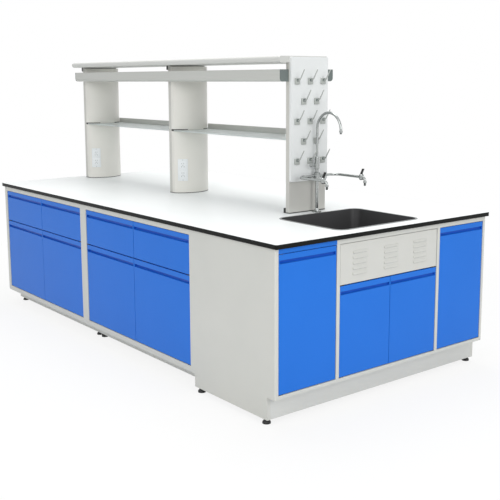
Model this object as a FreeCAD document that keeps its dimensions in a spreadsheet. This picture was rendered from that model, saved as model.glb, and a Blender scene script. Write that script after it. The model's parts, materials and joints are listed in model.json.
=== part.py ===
import FreeCAD, Part
import math
import os
from types import SimpleNamespace

import Sketcher
from FreeCAD import Placement, Rotation, Vector

# Island laboratory bench with a sink, a three-way tap and a two-tier reagent rack, in millimetres.
# +X points to the sink end, -Y to the near long side and +Z up.
# The origin is on the floor under the middle of the worktop.

SIZES = {
    # worktop
    "bench_length": 3000,
    "bench_width": 1500,
    "bench_height": 850,
    "top_thickness": 22,
    "top_corner": 14,
    "top_edge": 1.5,
    "side_overhang": 10,
    "sink_overhang": 20,
    "far_overhang": 30,
    # base units along the two long sides
    "unit_depth": 600,
    "stile_width": 36,
    "top_rail": 28,
    "bottom_rail": 30,
    "frame_depth": 20,
    "frame_bottom": 92,
    "frame_corner": 15,
    "side_board": 18,
    "base_board": 18,
    "back_board": 6,
    "inner_board": 16,
    "inner_clear": 2,
    "divider_gap": 1,
    # fronts with a finger pull moulded along the top
    "front_thickness": 20,
    "front_recess": 2,
    "front_gap": 3,
    "front_split": 6,
    "drawer_height": 202,
    "lip_height": 26,
    "lip_thickness": 4,
    "pull_depth": 13,
    "pull_fade": 12,
    "pull_end": 4,
    "pull_throat": 5,
    "pull_hook": 8,
    # pivot hinges
    "pivot_edge": 15,
    "pivot_back": 7,
    "pivot_radius": 3,
    "pivot_fit": 0.2,
    "pivot_length": 12,
    "pivot_plate": 3,
    "plate_length": 30,
    # drawers
    "box_behind": 98,
    "box_height": 130,
    "box_wall": 12,
    "box_floor": 8,
    "runner_thickness": 13,
    "runner_height": 48,
    "runner_ledge": 12,
    "ledge_thickness": 6,
    "running_gap": 0.3,
    # sink unit across the end
    "panel_thickness": 20,
    "panel_corner": 6,
    "sink_bay": 690,
    "end_rail": 26,
    "end_floor": 134,
    "end_toe": 55,
    "cleat_width": 20,
    "vent_height": 194,
    "vent_sheet": 2,
    "louvre_length": 95,
    "louvre_pitch": 26,
    "louvre_height": 13,
    "louvre_depth": 5,
    "louvre_lip": 2,
    "louvre_spacing": 213,
    # plinth and feet
    "toe_recess": 80,
    "toe_board": 18,
    "foot_clear": 25,
    "foot_radius": 20,
    "foot_neck": 9,
    "foot_pad": 7,
    "foot_cone": 22,
    "foot_inset": 30,
    "foot_front": 108,
    "foot_behind": 50,
    "end_foot_edge": 21,
    # sink
    "sink_front": 69,
    "sink_across": 460,
    "sink_back": 101,
    "sink_side": 65,
    "sink_depth": 300,
    "sink_wall": 5,
    "sink_corner": 45,
    "sink_draft": 3,
    "sink_floor_fillet": 24,
    "sink_flange": 12,
    "flange_thickness": 6,
    "sink_fit": 1,
    "rim_width": 11,
    "rim_height": 2,
    "waste_radius": 22,
    "waste_bore": 17,
    "waste_flange": 38,
    "waste_lip": 3,
    "waste_nut": 32,
    "waste_nut_height": 14,
    "tail_radius": 20,
    "tail_length": 75,
    "trap_radius": 36,
    "trap_height": 150,
    "trap_cap": 28,
    "trap_cap_height": 16,
    "trap_foot": 12,
    "outlet_drop": 32,
    "outlet_reach": 190,
    "outlet_spigot": 60,
    "outlet_collar": 25,
    # tap
    "tap_behind": 39,
    "tap_side": 26,
    "tap_flange": 26,
    "flange_edge": 5,
    "flange_rise": 22,
    "flange_sweep": 18.15,
    "tap_post": 9.5,
    "tap_shoulder": 4,
    "shank_radius": 10.5,
    "shank_length": 46,
    "shank_fit": 1.5,
    "nut_radius": 18,
    "nut_height": 9,
    "tee_height": 197,
    "tee_radius": 16,
    "tee_half": 17,
    "boss_radius": 11,
    "boss_half": 22,
    "valve_height": 250,
    "valve_radius": 14,
    "valve_half": 14,
    "neck_seat": 276,
    "tube_radius": 7,
    "neck_straight": 445,
    "neck_radius": 90,
    "neck_drop": 2,
    "neck_stub": 14,
    "union_radius": 11.5,
    "union_height": 20,
    "arm_spread": 137,
    "arm_reach": 224,
    "arm_bend": 42,
    "arm_drop": 20,
    "cock_setback": 26,
    "cock_radius": 13,
    "cock_half": 15,
    "arm_nozzle": 24,
    "neck_nozzle": 18,
    "nozzle_collar": 9,
    "nozzle_root": 7,
    "nozzle_rib": 2.2,
    "lever_rod": 3.5,
    "lever_reach": 36,
    "lever_rise": 25,
    "lever_bend": 8,
    "paddle_height": 30,
    "paddle_lean": 12,
    "paddle_width": 9,
    "paddle_root": 7,
    "paddle_tip": 3,
    "paddle_sink": 2,
    # reagent rack
    "rack_behind": 85,
    "rack_far": 76,
    "rack_width": 260,
    "rack_height": 795,
    "post_thickness": 28,
    "post_wall": 2,
    "shoe_height": 4,
    "shoe_edge": 2,
    "shelf_height": 390,
    "glass_thickness": 8,
    "cover_wall": 3,
    "cover_side": 25,
    "cover_bulge": 65,
    "cover_head": 6,
    "beam_width": 56,
    "beam_height": 63,
    "beam_wall": 3,
    "beam_corner": 18,
    "beam_drop": 35,
    "beam_left": 4,
    "beam_right": 13,
    "cap_length": 6,
    "board_near": 200,
    "board_far": 142,
    "board_thickness": 34,
    "board_left": 29,
    "board_edge": 14,
    "guard_thickness": 10,
    "guard_height": 33,
    "guard_start": 42,
    "bracket_length": 30,
    "bracket_width": 24,
    "bracket_height": 14,
    "bracket_side": 92,
    "block_length": 18,
    "block_width": 24,
    "block_height": 26,
    "socket_width": 62,
    "socket_height": 138,
    "socket_low": 78,
    "socket_turn": 34,
    "socket_depth": 5,
    "pegboard_thickness": 14,
    "pegboard_low": 170,
    "pegboard_drop": 5,
    "pegboard_corner": 6,
    "peg_pitch": 92,
    "peg_low": 108,
    "peg_high": 126,
    "peg_base": 32,
    "peg_base_depth": 10,
    "peg_radius": 3.2,
    "peg_rise": 62,
    "peg_reach": 54,
    "peg_knee": 18,
    "peg_knee_rise": 6.75,
    "peg_knee_radius": 27,
}

doc = FreeCAD.newDocument("LabBench")
sheet = doc.addObject("Spreadsheet::Sheet", "Sizes")
for row, (alias, number) in enumerate(SIZES.items(), 1):
    sheet.set("A%d" % row, alias)
    sheet.set("B%d" % row, str(number))
    sheet.setAlias("B%d" % row, alias)
doc.recompute()


class Dim:
    """A length or angle of the bench: its value and the sheet formula that gives it."""

    def __init__(self, text, value):
        self.text = text
        self.value = value

    def __add__(self, other):
        return Dim("(%s + %s)" % (self.text, text_of(other)), self.value + value_of(other))

    def __sub__(self, other):
        return Dim("(%s - %s)" % (self.text, text_of(other)), self.value - value_of(other))

    def __mul__(self, other):
        return Dim("(%s * %s)" % (self.text, text_of(other)), self.value * value_of(other))

    def __truediv__(self, other):
        return Dim("(%s / %s)" % (self.text, text_of(other)), self.value / value_of(other))

    def __radd__(self, other):
        return Dim("(%s + %s)" % (text_of(other), self.text), value_of(other) + self.value)

    def __rsub__(self, other):
        return Dim("(%s - %s)" % (text_of(other), self.text), value_of(other) - self.value)

    def __rmul__(self, other):
        return Dim("(%s * %s)" % (text_of(other), self.text), value_of(other) * self.value)

    def __neg__(self):
        return self * -1


def value_of(dim):
    return dim.value if isinstance(dim, Dim) else float(dim)


def text_of(dim):
    return dim.text if isinstance(dim, Dim) else "(%r)" % float(dim)


S = SimpleNamespace(**{alias: Dim("Sizes." + alias, float(sheet.get(alias))) for alias in SIZES})

# Planes that the pieces share.
half_length = S.bench_length / 2
half_width = S.bench_width / 2
under = S.bench_height - S.top_thickness
face_y = half_width - S.side_overhang
left_x = S.far_overhang - half_length
end_x = half_length - S.sink_overhang
sink_unit_depth = S.sink_front + S.sink_across + S.sink_back
unit_width = (end_x - sink_unit_depth - left_x) / 2
seam_x = left_x + unit_width
sink_x = seam_x + unit_width
half_unit = unit_width / 2
opening = half_unit - S.stile_width
opening_top = under - S.top_rail
opening_bottom = S.frame_bottom + S.bottom_rail
front_back = S.front_recess + S.front_thickness
drawer_top = opening_top - S.front_gap
drawer_bottom = drawer_top - S.drawer_height
door_top = drawer_bottom - S.front_split
door_bottom = opening_bottom + S.pivot_plate + S.running_gap
inner_start = front_back + S.inner_clear
divider_low = door_top + S.divider_gap
divider_top = divider_low + S.inner_board


# Helpers: bind a size, place a piece, draw a sketch, add a feature.
def bind(obj, prop, dim):
    setattr(obj, prop, value_of(dim))
    if isinstance(dim, Dim):
        obj.setExpression(prop, dim.text)


def put(obj, x=0, y=0, z=0, turn=0, axis=Vector(0, 0, 1)):
    spot = Vector(value_of(x), value_of(y), value_of(z))
    obj.Placement = Placement(spot, Rotation(axis, turn))
    for letter, dim in zip("xyz", (x, y, z)):
        if isinstance(dim, Dim):
            obj.setExpression("Placement.Base." + letter, dim.text)
    return obj


def seat(obj, side, centre_x, across, inward, up):
    """Stand a piece on the near, far or end front."""
    if side == "near":
        return put(obj, centre_x + across, inward - face_y, up, 0)
    if side == "far":
        return put(obj, centre_x - across, face_y - inward, up, 180)
    return put(obj, end_x - inward, across, up, 90)


def box(name, x0, x1, y0, y1, z0, z1):
    obj = doc.addObject("Part::Box", name)
    bind(obj, "Length", x1 - x0)
    bind(obj, "Width", y1 - y0)
    bind(obj, "Height", z1 - z0)
    return put(obj, x0, y0, z0)


def cylinder(name, radius, height, x=0, y=0, z=0):
    obj = doc.addObject("Part::Cylinder", name)
    bind(obj, "Radius", radius)
    bind(obj, "Height", height)
    return put(obj, x, y, z)


def cut(name, base, tool):
    obj = doc.addObject("Part::Cut", name)
    obj.Base = base
    obj.Tool = tool
    return obj


def fuse(name, *pieces):
    obj = doc.addObject("Part::MultiFuse", name)
    obj.Shapes = list(pieces)
    return obj


def group(name, *pieces):
    obj = doc.addObject("Part::Compound", name)
    obj.Links = list(pieces)
    return obj


def mirror(name, source):
    """Repeat a piece on the other side of the bench's long middle plane."""
    obj = doc.addObject("Part::Mirroring", name)
    obj.Source = source
    obj.Normal = Vector(0, 1, 0)
    return obj


def body(name):
    return doc.addObject("PartDesign::Body", name)


def sketch_on(owner, plane, offset=0, shift_x=0, shift_y=0):
    sketch = owner.newObject("Sketcher::SketchObject", "Sketch")
    support = [feature for feature in owner.Origin.OriginFeatures if feature.Role == plane]
    sketch.AttachmentSupport = [(support[0], "")]
    sketch.MapMode = "FlatFace"
    shift = (shift_x, shift_y, offset)
    sketch.AttachmentOffset = Placement(Vector(*[value_of(dim) for dim in shift]), Rotation())
    for letter, dim in zip("xyz", shift):
        if isinstance(dim, Dim):
            sketch.setExpression("AttachmentOffset.Base." + letter, dim.text)
    return sketch


def bend_edge(start, stop, radius):
    """Arc from start to stop, to the left of travel for a positive radius."""
    chord = stop - start
    rise = math.sqrt(max(radius * radius - chord.Length ** 2 / 4, 0))
    normal = Vector(-chord.y, chord.x, 0) / chord.Length
    centre = (start + stop) / 2 + normal * math.copysign(rise, radius)
    first, last = (start, stop) if radius > 0 else (stop, start)
    angles = [math.atan2(end.y - centre.y, end.x - centre.x) for end in (first, last)]
    return Part.ArcOfCircle(Part.Circle(centre, Vector(0, 0, 1), abs(radius)), *angles)


def draw(sketch, points, closed=True):
    """Join points by lines, or by an arc where a point carries a radius, and fix every point."""
    spots = [Vector(value_of(point[0]), value_of(point[1]), 0) for point in points]
    count = len(points) if closed else len(points) - 1
    edges = []
    rules = []
    links = []
    for index in range(count):
        start = spots[index]
        stop = spots[(index + 1) % len(points)]
        if len(points[index]) == 2:
            edges.append((sketch.addGeometry(Part.LineSegment(start, stop), False), 1, 2))
            continue
        radius = points[index][2]
        arc = sketch.addGeometry(bend_edge(start, stop, value_of(radius)), False)
        edges.append((arc, 1, 2) if value_of(radius) > 0 else (arc, 2, 1))
        size = radius if value_of(radius) > 0 else -radius
        rules.append(Sketcher.Constraint("Radius", arc, value_of(size)))
        links.append(size)
    for index, (edge, first, last) in enumerate(edges):
        following = edges[(index + 1) % count]
        if closed or index + 1 < count:
            rules.append(Sketcher.Constraint("Coincident", edge, last, following[0], following[1]))
            links.append(None)
    ends = [(edge, first) for edge, first, last in edges]
    if not closed:
        ends.append((edges[-1][0], edges[-1][2]))
    for (edge, corner), point in zip(ends, points):
        for kind, axis, dim in (("DistanceX", -2, point[0]), ("DistanceY", -1, point[1])):
            if isinstance(dim, Dim) or dim:
                rules.append(Sketcher.Constraint(kind, -1, 1, edge, corner, value_of(dim)))
            else:
                rules.append(Sketcher.Constraint("PointOnObject", edge, corner, axis))
            links.append(dim)
    first_rule = sketch.ConstraintCount
    sketch.addConstraint(rules)
    for index, dim in enumerate(links, first_rule):
        if isinstance(dim, Dim):
            sketch.setExpression("Constraints[%d]" % index, dim.text)
    return sketch


def disc(sketch, radius, x=0, y=0):
    ring = Part.Circle(Vector(value_of(x), value_of(y), 0), Vector(0, 0, 1), value_of(radius))
    edge = sketch.addGeometry(ring, False)
    first_rule = sketch.ConstraintCount
    rules = [Sketcher.Constraint("Radius", edge, value_of(radius))]
    for kind, axis, dim in (("DistanceX", -2, x), ("DistanceY", -1, y)):
        if isinstance(dim, Dim):
            rules.append(Sketcher.Constraint(kind, -1, 1, edge, 3, value_of(dim)))
        else:
            rules.append(Sketcher.Constraint("PointOnObject", edge, 3, axis))
    sketch.addConstraint(rules)
    for index, dim in enumerate((radius, x, y), first_rule):
        if isinstance(dim, Dim):
            sketch.setExpression("Constraints[%d]" % index, dim.text)
    return sketch


def rectangle(x0, x1, y0, y1, radius=None):
    """Corners of a rectangle, rounded where a radius is given."""
    if radius is None:
        return [(x0, y0), (x1, y0), (x1, y1), (x0, y1)]
    return [
        (x0 + radius, y0),
        (x1 - radius, y0, radius),
        (x1, y0 + radius),
        (x1, y1 - radius, radius),
        (x1 - radius, y1),
        (x0 + radius, y1, radius),
        (x0, y1 - radius),
        (x0, y0 + radius, radius),
    ]


def extrude(owner, sketch, length, reverse=False, draft=None):
    feature = owner.newObject("PartDesign::Pad", "Pad")
    feature.Profile = sketch
    bind(feature, "Length", length)
    feature.Reversed = reverse
    if draft is not None:
        bind(feature, "TaperAngle", draft)
    return feature


def pocket(owner, sketch, length, reverse=False, draft=None):
    feature = owner.newObject("PartDesign::Pocket", "Pocket")
    feature.Profile = sketch
    bind(feature, "Length", length)
    feature.Reversed = reverse
    if draft is not None:
        bind(feature, "TaperAngle", draft)
    return feature


def revolve(owner, sketch):
    feature = owner.newObject("PartDesign::Revolution", "Revolution")
    feature.Profile = sketch
    feature.ReferenceAxis = (sketch, ["V_Axis"])
    feature.Angle = 360
    return feature


def sweep(owner, profile, spine):
    feature = owner.newObject("PartDesign::AdditivePipe", "Pipe")
    feature.Profile = profile
    feature.Spine = spine
    return feature


def round_edges(owner, radius, chosen):
    """Fillet the edges of the body so far for which chosen(edge) is true."""
    doc.recompute()
    base = owner.Tip
    names = ["Edge%d" % index for index, edge in enumerate(base.Shape.Edges, 1) if chosen(edge)]
    feature = owner.newObject("PartDesign::Fillet", "Fillet")
    feature.Base = (base, names)
    bind(feature, "Radius", radius)
    return feature


def all_at(edge, axis, level):
    """True where every end of the edge has this coordinate."""
    return all(abs(getattr(vertex.Point, axis) - value_of(level)) < 0.01 for vertex in edge.Vertexes)


nodes = []


def node(obj, label):
    obj.Label = label
    nodes.append(obj)
    return obj


# Worktop: laminate slab with rounded corners, cut out for the sink and bored for the tap.
sink_high_x = end_x - S.sink_front
sink_low_x = sink_high_x - S.sink_across
sink_mid_x = (sink_high_x + sink_low_x) / 2
half_across = S.sink_across / 2
half_along = S.sink_bay / 2 - S.sink_side
basin_across = half_across + S.sink_wall
basin_along = half_along + S.sink_wall
cutout_across = basin_across + S.sink_fit
cutout_along = basin_along + S.sink_fit
basin_corner = S.sink_corner + S.sink_wall
tap_x = sink_low_x - S.tap_behind
tap_y = S.tap_side

worktop = body("Worktop")
slab = draw(sketch_on(worktop, "XY_Plane", under),
            rectangle(-half_length, half_length, -half_width, half_width, S.top_corner))
extrude(worktop, slab, S.top_thickness)
cutout = draw(sketch_on(worktop, "XY_Plane", S.bench_height, sink_mid_x),
              rectangle(-cutout_across, cutout_across, -cutout_along, cutout_along,
                        basin_corner + S.sink_fit))
pocket(worktop, cutout, S.top_thickness)
tap_hole = disc(sketch_on(worktop, "XY_Plane", S.bench_height, tap_x, tap_y), S.shank_radius + S.shank_fit)
pocket(worktop, tap_hole, S.top_thickness)
top_reach = half_length.value - 2 * S.top_corner.value
round_edges(worktop, S.top_edge,
            lambda edge: all_at(edge, "z", S.bench_height)
            and (edge.BoundBox.XMax > top_reach or edge.BoundBox.XMin < -top_reach
                 or edge.BoundBox.XLength > top_reach)
            and abs(edge.BoundBox.XMax - sink_high_x.value) > S.sink_corner.value)
node(worktop, "worktop")

# Sink basin: drafted moulding with a flange under the worktop and a drain hole in its floor.
basin = body("SinkBasin")
basin_outer = draw(sketch_on(basin, "XY_Plane"),
                   rectangle(-basin_across, basin_across, -basin_along, basin_along, basin_corner))
extrude(basin, basin_outer, S.sink_depth + S.sink_wall, True, -S.sink_draft)
basin_inner = draw(sketch_on(basin, "XY_Plane"),
                   rectangle(-half_across, half_across, -half_along, half_along, S.sink_corner))
pocket(basin, basin_inner, S.sink_depth, False, -S.sink_draft)
basin_flange = sketch_on(basin, "XY_Plane", -S.top_thickness)
flange_hold = S.sink_wall / 2
flange_across = basin_across - flange_hold
flange_along = basin_along - flange_hold
draw(basin_flange, rectangle(-basin_across - S.sink_flange, basin_across + S.sink_flange,
                             -basin_along - S.sink_flange, basin_along + S.sink_flange,
                             basin_corner + S.sink_flange))
draw(basin_flange, rectangle(-flange_across, flange_across, -flange_along, flange_along,
                             basin_corner - flange_hold))
extrude(basin, basin_flange, S.flange_thickness, True)
drain = disc(sketch_on(basin, "XY_Plane", -S.sink_depth), S.waste_radius + S.running_gap)
pocket(basin, drain, S.sink_wall)
round_edges(basin, S.sink_floor_fillet,
            lambda edge: all_at(edge, "z", -S.sink_depth) and edge.Length > half_across.value)
put(basin, sink_mid_x, 0, S.bench_height)
node(basin, "sink_basin")

rim = body("SinkRim")
rim_ring = sketch_on(rim, "XY_Plane")
rim_across = half_across + S.rim_width
rim_along = half_along + S.rim_width
draw(rim_ring, rectangle(-rim_across, rim_across, -rim_along, rim_along, S.sink_corner + S.rim_width))
draw(rim_ring, rectangle(-half_across, half_across, -half_along, half_along, S.sink_corner))
extrude(rim, rim_ring, S.rim_height)
put(rim, sink_mid_x, 0, S.bench_height)
node(rim, "sink_rim")

# Waste fitting, bored for a plug, through the floor of the basin, and the bottle trap with its outlet pipe.
basin_floor = S.bench_height - S.sink_depth
waste = body("WasteFitting")
nut_low = -S.sink_wall - S.waste_nut_height
waste_profile = draw(sketch_on(waste, "XZ_Plane"), [
    (S.waste_bore, -S.tail_length),
    (S.tail_radius, -S.tail_length),
    (S.tail_radius, nut_low),
    (S.waste_nut, nut_low),
    (S.waste_nut, -S.sink_wall),
    (S.waste_radius, -S.sink_wall),
    (S.waste_radius, 0),
    (S.waste_flange, 0),
    (S.waste_flange, S.waste_lip),
    (S.waste_bore, S.waste_lip),
])
revolve(waste, waste_profile)
trap = body("BottleTrap")
trap_low = -S.tail_length - S.trap_height
cap_low = -S.tail_length - S.trap_cap_height
trap_profile = draw(sketch_on(trap, "XZ_Plane"), [
    (0, -S.tail_length),
    (S.trap_cap, -S.tail_length),
    (S.trap_cap, cap_low),
    (S.trap_radius, cap_low),
    (S.trap_radius, trap_low + S.trap_foot),
    (S.trap_radius - S.trap_foot, trap_low),
    (0, trap_low),
])
revolve(trap, trap_profile)
outlet_z = cap_low - S.outlet_drop
for radius, reach in ((S.outlet_collar, S.outlet_reach - S.outlet_spigot), (S.tail_radius, S.outlet_reach)):
    extrude(trap, disc(sketch_on(trap, "YZ_Plane"), radius, 0, outlet_z), reach, True)
node(put(group("SinkWaste", waste, trap), sink_mid_x, 0, basin_floor), "sink_waste")


# Tap: ribbed hose nozzle, drawn as a profile about a vertical axis that ends at its tip.
# Each rib is widest at one share of its pitch, and drops back by another share of its height.
rib_crest = 0.7
rib_step = 0.6


def nozzle_profile(top, length, ribs):
    rib_pitch = (length - S.nozzle_collar) / ribs
    tip = top - length
    points = [(0, tip), (S.nozzle_root - S.nozzle_rib, tip)]
    for rib in range(ribs):
        low = tip + rib_pitch * rib
        points.append((S.nozzle_root, low + rib_pitch * rib_crest))
        points.append((S.nozzle_root - S.nozzle_rib * rib_step, low + rib_pitch))
    points.append((S.nozzle_root + S.nozzle_rib, tip + rib_pitch * ribs))
    points.append((S.nozzle_root + S.nozzle_rib, top))
    points.append((0, top))
    return points


# Column: flange, post, T body for the side arms, neck valve, and the socket that the gooseneck turns in.
column = body("TapColumn")
tee_low = S.tee_height - S.tee_half
tee_high = S.tee_height + S.tee_half
valve_low = S.valve_height - S.valve_half
valve_high = S.valve_height + S.valve_half
shank_end = -S.top_thickness - S.shank_length
column_profile = draw(sketch_on(column, "XZ_Plane"), [
    (0, shank_end),
    (S.shank_radius, shank_end),
    (S.shank_radius, 0),
    (S.tap_flange, 0),
    (S.tap_flange, S.flange_edge, -S.flange_sweep),
    (S.tap_post, S.flange_edge + S.flange_rise),
    (S.tap_post, tee_low - S.tap_shoulder),
    (S.tee_radius, tee_low),
    (S.tee_radius, tee_high),
    (S.tap_post, tee_high + S.tap_shoulder),
    (S.tap_post, valve_low - S.tap_shoulder),
    (S.valve_radius, valve_low),
    (S.valve_radius, valve_high),
    (S.union_radius, valve_high + S.tap_shoulder),
    (S.union_radius, S.neck_seat),
    (S.tube_radius, S.neck_seat),
    (S.tube_radius, S.neck_seat - S.neck_stub),
    (0, S.neck_seat - S.neck_stub),
])
revolve(column, column_profile)
boss = disc(sketch_on(column, "XZ_Plane", -S.boss_half), S.boss_radius, 0, S.tee_height)
extrude(column, boss, S.boss_half * 2)
spindle_depth = S.valve_radius / 2
spindle_bore = disc(sketch_on(column, "XZ_Plane", S.valve_radius), S.lever_rod + S.pivot_fit,
                    0, S.valve_height)
pocket(column, spindle_bore, spindle_depth)
back_nut = doc.addObject("Part::Prism", "BackNutBlank")
back_nut.Polygon = 6
bind(back_nut, "Circumradius", S.nut_radius)
bind(back_nut, "Height", S.nut_height)
put(back_nut, 0, 0, -S.top_thickness - S.nut_height)
nut_bore = cylinder("BackNutBore", S.shank_radius + S.pivot_fit, S.nut_height,
                    0, 0, -S.top_thickness - S.nut_height)
tap_nut = cut("BackNut", back_nut, nut_bore)
node(put(group("TapColumnSet", column, tap_nut), tap_x, tap_y, S.bench_height), "tap_column")


# Side arm: tube bent from the T body to the front, stop cock with a vertical bore, elbow and nozzle.
def side_arm(name, hand):
    arm = body(name)
    spread = S.arm_spread * hand
    start = S.boss_half * hand
    cock_x = S.arm_reach - S.cock_setback
    elbow_x = S.arm_reach - S.arm_drop
    spine = draw(sketch_on(arm, "XY_Plane", S.tee_height), [
        (0, start),
        (0, spread - S.arm_bend * hand, S.arm_bend * -hand),
        (S.arm_bend, spread),
        (cock_x, spread),
    ], False)
    sweep(arm, disc(sketch_on(arm, "XZ_Plane", -start), S.tube_radius, 0, S.tee_height), spine)
    cock = draw(sketch_on(arm, "XZ_Plane", -spread, cock_x), [
        (0, S.tee_height - S.cock_half),
        (S.cock_radius - S.tap_shoulder, S.tee_height - S.cock_half),
        (S.cock_radius, S.tee_height - S.cock_half + S.tap_shoulder),
        (S.cock_radius, S.tee_height + S.cock_half - S.tap_shoulder),
        (S.cock_radius - S.tap_shoulder, S.tee_height + S.cock_half),
        (0, S.tee_height + S.cock_half),
    ])
    revolve(arm, cock)
    drop = draw(sketch_on(arm, "XZ_Plane", -spread), [
        (cock_x, S.tee_height),
        (elbow_x, S.tee_height, -S.arm_drop),
        (S.arm_reach, S.tee_height - S.arm_drop),
    ], False)
    sweep(arm, disc(sketch_on(arm, "YZ_Plane", cock_x), S.tube_radius, spread, S.tee_height), drop)
    tip = draw(sketch_on(arm, "XZ_Plane", -spread, S.arm_reach),
               nozzle_profile(S.tee_height - S.arm_drop, S.arm_nozzle, 3))
    revolve(arm, tip)
    bore = disc(sketch_on(arm, "XY_Plane", S.tee_height + S.cock_half, cock_x, spread),
                S.lever_rod + S.pivot_fit)
    pocket(arm, bore, S.cock_half)
    return arm


arms = group("TapArms", side_arm("NearArm", -1), side_arm("FarArm", 1))
node(put(arms, tap_x, tap_y, S.bench_height), "tap_arms")

# Gooseneck: stub in the column's socket, union nut, bent tube and nozzle.
neck = body("Gooseneck")
neck_low = S.neck_seat + S.running_gap
neck_profile = draw(sketch_on(neck, "XZ_Plane"), [
    (0, neck_low - S.neck_stub),
    (S.tube_radius - S.pivot_fit, neck_low - S.neck_stub),
    (S.tube_radius - S.pivot_fit, neck_low),
    (S.union_radius, neck_low),
    (S.union_radius, neck_low + S.union_height),
    (S.tube_radius, neck_low + S.union_height + S.tap_shoulder),
    (0, neck_low + S.union_height + S.tap_shoulder),
])
revolve(neck, neck_profile)
neck_spine = draw(sketch_on(neck, "XZ_Plane"), [
    (0, neck_low + S.union_height),
    (0, S.neck_straight, -S.neck_radius),
    (S.neck_radius, S.neck_straight + S.neck_radius, -S.neck_radius),
    (S.neck_radius * 2, S.neck_straight),
    (S.neck_radius * 2, S.neck_straight - S.neck_drop),
], False)
sweep(neck, disc(sketch_on(neck, "XY_Plane", neck_low + S.union_height), S.tube_radius), neck_spine)
neck_tip = draw(sketch_on(neck, "XZ_Plane", 0, S.neck_radius * 2),
                nozzle_profile(S.neck_straight, S.neck_nozzle, 2))
revolve(neck, neck_tip)
node(put(neck, tap_x, tap_y, S.bench_height), "tap_gooseneck")

# Neck lever: rod that leaves the valve sideways and turns up.
lever = body("NeckLever")
lever_start = S.valve_radius - spindle_depth + S.running_gap
lever_end = S.valve_radius + S.lever_reach
lever_spine = draw(sketch_on(lever, "YZ_Plane"), [
    (-lever_start, S.valve_height),
    (S.lever_bend - lever_end, S.valve_height, -S.lever_bend),
    (-lever_end, S.valve_height + S.lever_bend),
    (-lever_end, S.valve_height + S.lever_rise),
], False)
sweep(lever, disc(sketch_on(lever, "XZ_Plane", lever_start), S.lever_rod, 0, S.valve_height), lever_spine)
node(put(lever, tap_x, tap_y, S.bench_height), "neck_valve_lever")


# Arm lever: round stem in the stop cock with a tapered paddle that leans forward.
def paddle(name, label, hand):
    piece = body(name)
    stem_end = S.running_gap - S.cock_half
    hub_high = S.running_gap + S.paddle_root
    stem = draw(sketch_on(piece, "XZ_Plane"), [
        (0, stem_end),
        (S.lever_rod, stem_end),
        (S.lever_rod, S.running_gap),
        (S.paddle_root, S.running_gap),
        (S.paddle_root, hub_high),
        (0, hub_high),
    ])
    revolve(piece, stem)
    half_blade = S.paddle_width / 2
    blade = draw(sketch_on(piece, "XZ_Plane", half_blade), [
        (-half_blade, hub_high - S.paddle_sink),
        (half_blade, hub_high - S.paddle_sink),
        (S.paddle_lean + half_blade, S.paddle_height - S.paddle_tip, S.paddle_tip),
        (S.paddle_lean + half_blade - S.paddle_tip, S.paddle_height),
        (S.paddle_lean - half_blade, S.paddle_height),
    ])
    extrude(piece, blade, S.paddle_width, True)
    cock_y = tap_y + S.arm_spread * hand
    put(piece, tap_x + S.arm_reach - S.cock_setback, cock_y, S.bench_height + S.tee_height + S.cock_half)
    node(piece, label)


paddle("NearPaddle", "near_arm_lever", -1)
paddle("FarPaddle", "far_arm_lever", 1)


# Base units in their own frame: x across, y into the unit, z up, the front face at y = 0.
def face_frame(name, rounded):
    """Two stiles and two rails; the outer lower corner is rounded at the end of a row."""
    low = S.frame_bottom
    corner_high = low + S.frame_corner
    corner_in = half_unit - S.frame_corner
    outlines = {
        -1: [(-corner_in, low), (-opening, low), (-opening, under), (-half_unit, under),
             (-half_unit, corner_high, S.frame_corner)],
        1: [(opening, low), (corner_in, low, S.frame_corner), (half_unit, corner_high),
            (half_unit, under), (opening, under)],
    }
    plain = {-1: rectangle(-half_unit, -opening, low, under), 1: rectangle(opening, half_unit, low, under)}
    pieces = []
    for hand in (-1, 1):
        stile = body(name + "Stile")
        sketch = draw(sketch_on(stile, "XZ_Plane"), outlines[hand] if hand == rounded else plain[hand])
        extrude(stile, sketch, S.frame_depth, True)
        pieces.append(stile)
    pieces.append(box(name + "BottomRail", -opening, opening, 0, S.frame_depth, low, opening_bottom))
    pieces.append(box(name + "TopRail", -opening, opening, 0, S.frame_depth, opening_top, under))
    return pieces


def base_unit(label, side, centre_x, rounded):
    name = label.title().replace("_", "")
    inner = half_unit - S.side_board
    depth = S.frame_depth
    reach = face_y - S.running_gap
    pieces = face_frame(name, rounded)
    for end, x in (("Left", -half_unit), ("Right", inner)):
        pieces.append(box(name + end, x, x + S.side_board, depth, reach, S.frame_bottom, under))
    floor_top = S.frame_bottom + S.base_board
    pieces.append(box(name + "Floor", -inner, inner, depth, S.unit_depth, S.frame_bottom, floor_top))
    back_end = S.unit_depth + S.back_board
    pieces.append(box(name + "Back", -inner, inner, S.unit_depth, back_end, S.frame_bottom, under))
    pieces.append(box(name + "Divider", -inner, inner, inner_start, S.unit_depth, divider_low, divider_top))
    half_board = S.inner_board / 2
    pieces.append(box(name + "Partition", -half_board, half_board, inner_start, S.unit_depth,
                      divider_top, under))
    node(seat(group(name, *pieces), side, centre_x, 0, 0, 0), label)


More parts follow.
